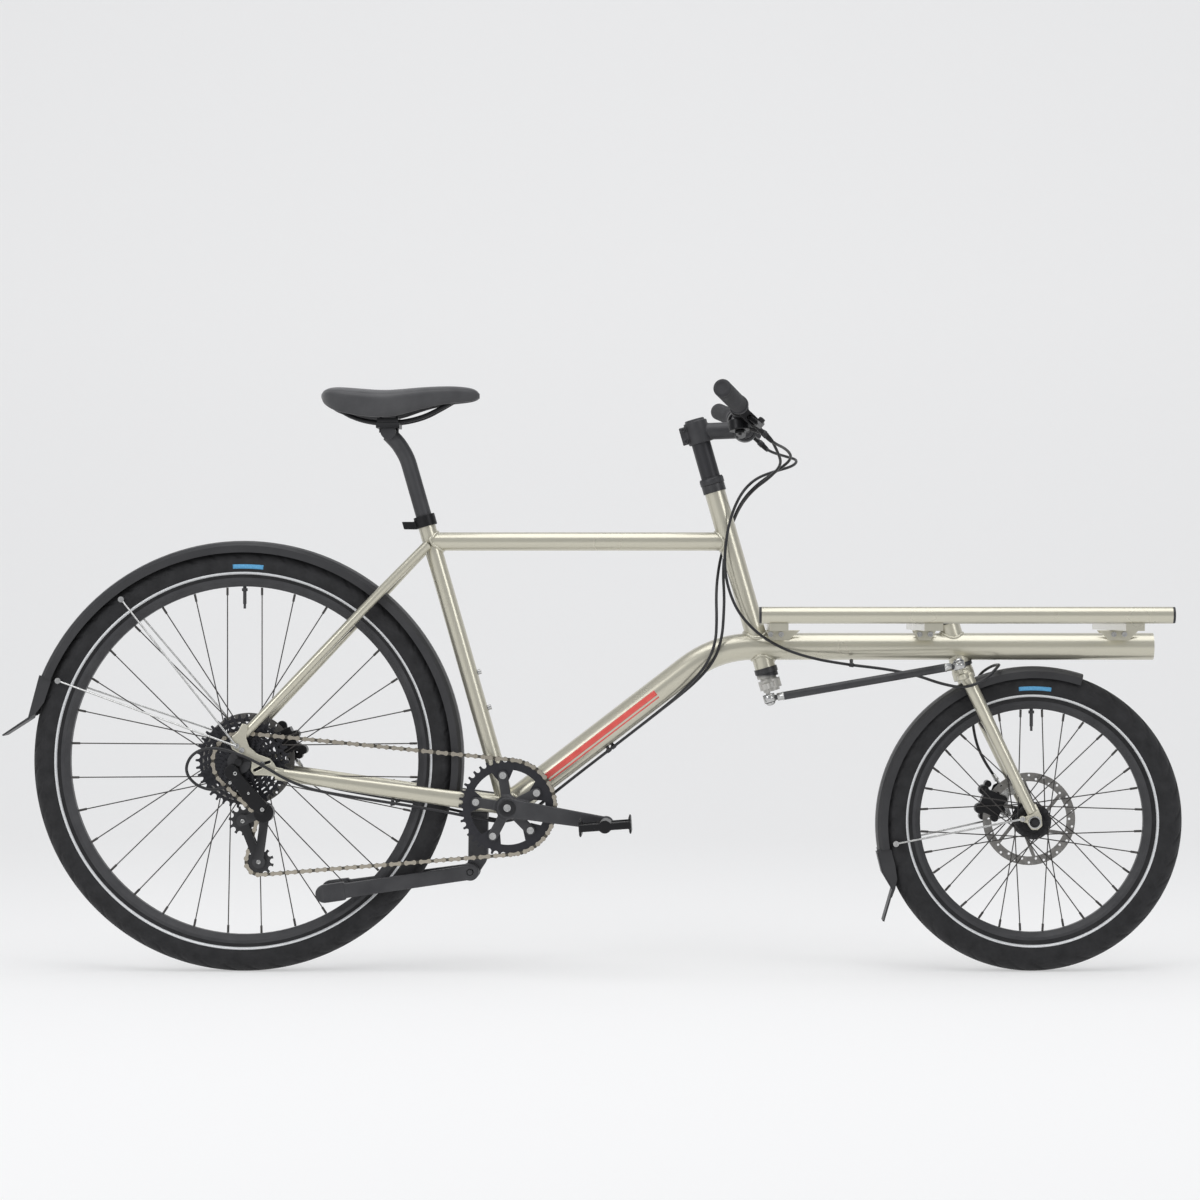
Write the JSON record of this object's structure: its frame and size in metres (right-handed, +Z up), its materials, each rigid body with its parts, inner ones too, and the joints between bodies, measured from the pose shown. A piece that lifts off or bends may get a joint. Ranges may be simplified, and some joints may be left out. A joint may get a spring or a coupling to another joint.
{
  "type": "cargo bicycle",
  "caption": "Long cargo bicycle with a flat tube load rack over a small front wheel, linkage steering, disc brakes, derailleur gears, mudguards and a centre stand.",
  "frame": {"origin": "on the ground under the middle of the bicycle's length and width", "axes": "+X forward, +Y to the rider's left, +Z up"},
  "size_m": [2.02, 0.6938, 1.003],
  "materials": {
    "frame_paint": "metallic satin",
    "black_metal": "satin black anodised",
    "black_steel": "satin black",
    "steel": "brushed",
    "chain_steel": "nickel plated",
    "rubber": "matt",
    "tyre": "treaded rubber",
    "plastic": "fine grained",
    "saddle_cover": "synthetic leather",
    "cable": "smooth"
  },
  "bodies": {
    "frame": {"seat_tube": "frame_paint", "top_tube": "frame_paint", "bearing_shells": "frame_paint", "main_boom": "frame_paint", "rear_stays": "frame_paint", "rear_dropouts": "frame_paint", "cargo_rails": "frame_paint", "rail_end_caps": "plastic", "cargo_crossbars": "frame_paint", "rack_brackets": "frame_paint", "clips_and_bolts": "steel", "seat_collar": "black_metal", "bearing_cups": "black_steel", "rear_mudguard": "plastic", "rear_mudguard_stays": "steel", "kickstand_mount": "black_metal", "rear_brake_caliper": "black_metal", "rear_axle": "black_steel", "chain": "chain_steel", "front_brake_cable": "cable", "rear_brake_cable": "cable", "shift_cable": "cable", "rear_derailleur": "black_metal"},
    "seatpost": {"seatpost": "black_metal", "saddle_rails_and_clamp": "black_steel", "saddle": "saddle_cover"},
    "handlebar": {"steering_column": "black_steel", "stem": "black_metal", "handlebar": "black_metal", "grips": "rubber", "bar_controls": "black_metal"},
    "right_lever": {"right_brake_lever": "black_metal"},
    "left_lever": {"left_brake_lever": "black_metal"},
    "shift_lever": {"shift_lever": "black_metal"},
    "tie_rod": {"tie_rod": "black_steel"},
    "fork": {"fork": "frame_paint", "front_axle": "black_steel", "front_mudguard": "plastic", "front_mudguard_stays": "steel", "front_brake_caliper": "black_metal"},
    "front_wheel": {"front_tyre": "tyre", "front_rim": "black_metal", "front_hub": "black_metal", "front_spokes": "black_steel", "front_rotor": "steel"},
    "rear_wheel": {"rear_tyre": "tyre", "rear_rim": "black_metal", "rear_hub": "black_metal", "rear_spokes": "black_steel", "rear_rotor": "steel"},
    "cassette": {"cassette": "black_steel"},
    "crank": {"crank_arms": "black_metal", "crank_hardware": "steel", "chainring": "black_metal"},
    "right_pedal": {"right_pedal": "black_metal"},
    "left_pedal": {"left_pedal": "black_metal"},
    "kickstand": {"kickstand_legs": "black_metal"},
    "cage": {"derailleur_cage": "black_metal"},
    "upper_jockey": {"upper_jockey_wheel": "plastic"},
    "lower_jockey": {"lower_jockey_wheel": "plastic"}
  },
  "joints": [
    {"name": "rear_wheel_spin", "type": "hinge", "parent": "frame", "child": "rear_wheel", "pos_m": [-0.598, 0, 0.361], "axis": [0, 1, 0], "continuous": true},
    {"name": "handlebar_steer", "type": "hinge", "parent": "frame", "child": "handlebar", "pos_m": [0.24381, 0, 0.7], "axis": [-0.2756, 0, 0.9613], "range_deg": [-40, 40], "deforming": ["front_brake_cable", "rear_brake_cable", "shift_cable"]},
    {"name": "fork_steer", "type": "hinge", "parent": "frame", "child": "fork", "pos_m": [0.6208, 0, 0.56], "axis": [-0.2756, 0, 0.9613], "range_deg": [-40, 40]},
    {"name": "tie_rod_pivot", "type": "hinge", "parent": "handlebar", "child": "tie_rod", "pos_m": [0.30053, -0.09, 0.46952], "axis": [-0.2756, 0, 0.9613], "range_deg": [-40, 40]},
    {"name": "front_wheel_spin", "type": "hinge", "parent": "fork", "child": "front_wheel", "pos_m": [0.752, 0, 0.258], "axis": [0, 1, 0], "continuous": true},
    {"name": "crank_spin", "type": "hinge", "parent": "frame", "child": "crank", "pos_m": [-0.144, 0, 0.283], "axis": [0, 1, 0], "continuous": true, "deforming": ["chain"]},
    {"name": "cassette_spin", "type": "hinge", "parent": "frame", "child": "cassette", "pos_m": [-0.598, 0, 0.361], "axis": [0, 1, 0], "continuous": true},
    {"name": "right_pedal_spin", "type": "hinge", "parent": "crank", "child": "right_pedal", "pos_m": [0.02386, -0.118, 0.25611], "axis": [0, 1, 0], "continuous": true},
    {"name": "left_pedal_spin", "type": "hinge", "parent": "crank", "child": "left_pedal", "pos_m": [-0.31186, 0.118, 0.30989], "axis": [0, 1, 0], "continuous": true},
    {"name": "seatpost_slide", "type": "slide", "parent": "frame", "child": "seatpost", "axis": [-0.2756, 0, 0.9613], "range_m": [-0.06, 0.1]},
    {"name": "kickstand_fold", "type": "hinge", "parent": "frame", "child": "kickstand", "pos_m": [-0.2094, 0, 0.1712], "axis": [0, -1, 0], "range_deg": [0, 95]},
    {"name": "right_brake_pull", "type": "hinge", "parent": "handlebar", "child": "right_lever", "pos_m": [0.26996, -0.18705, 0.9341], "axis": [-0.6877, -0.0539, -0.7239], "range_deg": [0, 15], "stiffness_Nm_per_rad": 1.5},
    {"name": "left_brake_pull", "type": "hinge", "parent": "handlebar", "child": "left_lever", "pos_m": [0.26996, 0.18705, 0.9341], "axis": [0.6877, -0.0539, 0.7239], "range_deg": [0, 15], "stiffness_Nm_per_rad": 1.5},
    {"name": "shift_push", "type": "hinge", "parent": "handlebar", "child": "shift_lever", "pos_m": [0.24936, -0.15561, 0.91896], "axis": [0.09, -0.1471, -0.985], "range_deg": [0, 25], "stiffness_Nm_per_rad": 0.3},
    {"name": "cage_swing", "type": "hinge", "parent": "frame", "child": "cage", "pos_m": [-0.556, -0.046, 0.2757], "axis": [0, -1, 0], "range_deg": [0, 20], "stiffness_Nm_per_rad": 2},
    {"name": "upper_jockey_spin", "type": "hinge", "parent": "cage", "child": "upper_jockey", "pos_m": [-0.59464, -0.046, 0.26], "axis": [0, 1, 0], "continuous": true},
    {"name": "lower_jockey_spin", "type": "hinge", "parent": "cage", "child": "lower_jockey", "pos_m": [-0.56764, -0.046, 0.19026], "axis": [0, 1, 0], "continuous": true}
  ],
  "couplings": [
    {"joint": "fork_steer", "follows": "handlebar_steer", "ratio": 1},
    {"joint": "tie_rod_pivot", "follows": "handlebar_steer", "ratio": -1},
    {"joint": "cassette_spin", "follows": "crank_spin", "ratio": 1.6667},
    {"joint": "upper_jockey_spin", "follows": "crank_spin", "ratio": -3.6364},
    {"joint": "lower_jockey_spin", "follows": "crank_spin", "ratio": 3.6364}
  ]
}
